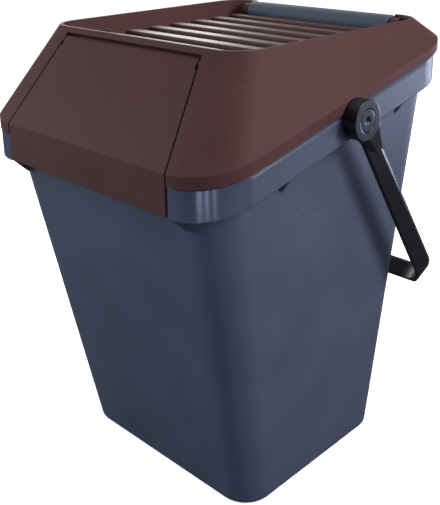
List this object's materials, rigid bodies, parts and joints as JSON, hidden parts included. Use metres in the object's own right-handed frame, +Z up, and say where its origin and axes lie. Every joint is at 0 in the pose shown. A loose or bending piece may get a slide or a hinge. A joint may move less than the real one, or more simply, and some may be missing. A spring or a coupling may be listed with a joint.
{
  "type": "stackable trash can",
  "caption": "Tapered plastic sorting bin with a sloping rim, a hinged brown lid with a swinging front flap and a ribbed stacking tray, and a black carrying handle",
  "frame": {"origin": "the middle of the flat underside of the base", "axes": "+Z up, front with the flap towards -Y, hinge side towards +Y, X across the bin"},
  "size_m": [0.38, 0.373, 0.49],
  "materials": {
    "bin_plastic": "moulded slate-grey polypropylene, satin",
    "lid_plastic": "moulded brown polypropylene, satin",
    "handle_plastic": "moulded black polypropylene, satin",
    "pin_plastic": "moulded brown polypropylene, satin"
  },
  "bodies": {
    "bin": {"bin_body": "bin_plastic", "handle_pin_right": "handle_plastic", "handle_pin_left": "handle_plastic"},
    "lid": {"lid": "lid_plastic", "lid_hinge_pin_right": "pin_plastic", "lid_hinge_pin_left": "pin_plastic"},
    "flap": {"front_flap": "lid_plastic"},
    "handle": {"handle": "handle_plastic"}
  },
  "joints": [
    {"name": "lid_hinge", "type": "hinge", "parent": "bin", "child": "lid", "pos_m": [0, 0.1525, 0.4783], "axis": [-1, 0, 0], "range_deg": [0, 180]},
    {"name": "flap_hinge", "type": "hinge", "parent": "lid", "child": "flap", "pos_m": [0, -0.13792, 0.4768], "axis": [-1, 0, 0], "range_deg": [0, 95]},
    {"name": "handle_swing", "type": "hinge", "parent": "bin", "child": "handle", "pos_m": [0, -0.0135, 0.41713], "axis": [1, 0, 0], "range_deg": [0, 288]}
  ]
}
